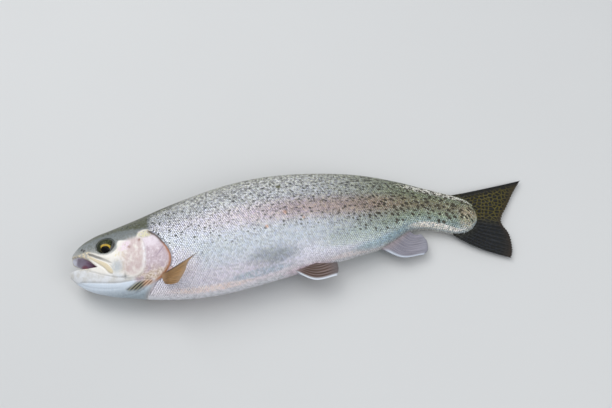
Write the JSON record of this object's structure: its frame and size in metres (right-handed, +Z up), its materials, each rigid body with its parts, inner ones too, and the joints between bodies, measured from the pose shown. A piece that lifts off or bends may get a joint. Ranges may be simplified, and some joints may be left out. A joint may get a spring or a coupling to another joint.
{
  "type": "rainbow trout",
  "caption": "Life-size still rainbow trout lying on its right flank, mouth open, back gently arched, left pectoral fin raised.",
  "frame": {"origin": "middle of the footprint's box, on the surface the fish lies on", "axes": "+X from the snout towards the tail, +Y towards the back, +Z up out of the left flank"},
  "size_m": [0.4994, 0.1364, 0.0842],
  "materials": {
    "silver_skin": "wet silvery scales with small dark spots",
    "olive_tail": "wet olive scales with dark spots",
    "head_skin": "smooth wet skin, olive above and cream below",
    "gill_cover": "smooth wet skin with a pink sheen",
    "jaw_skin": "smooth white wet skin",
    "tongue_skin": "wet flesh",
    "eye_ball": "glassy, gold iris and black pupil",
    "spotted_fin": "wet olive-brown fin with dark spots",
    "clear_fin": "wet, partly clear rayed fin"
  },
  "bodies": {
    "root": {"head": "head_skin", "maxilla_left": "head_skin", "maxilla_right": "head_skin", "lower_jaw": "jaw_skin", "throat": "jaw_skin", "tongue": "tongue_skin", "gill_cover_left": "gill_cover", "gill_cover_right": "gill_cover", "eye_left": "eye_ball", "eye_right": "eye_ball", "trunk_front": "silver_skin", "trunk_rear": "silver_skin", "tail_stem": "olive_tail", "dorsal_fin": "spotted_fin", "adipose_fin": "spotted_fin", "caudal_fin": "spotted_fin", "anal_fin": "clear_fin", "pectoral_fin_left": "clear_fin", "pectoral_fin_right": "clear_fin", "pelvic_fin_left": "clear_fin", "pelvic_fin_right": "clear_fin"}
  },
  "joints": []
}
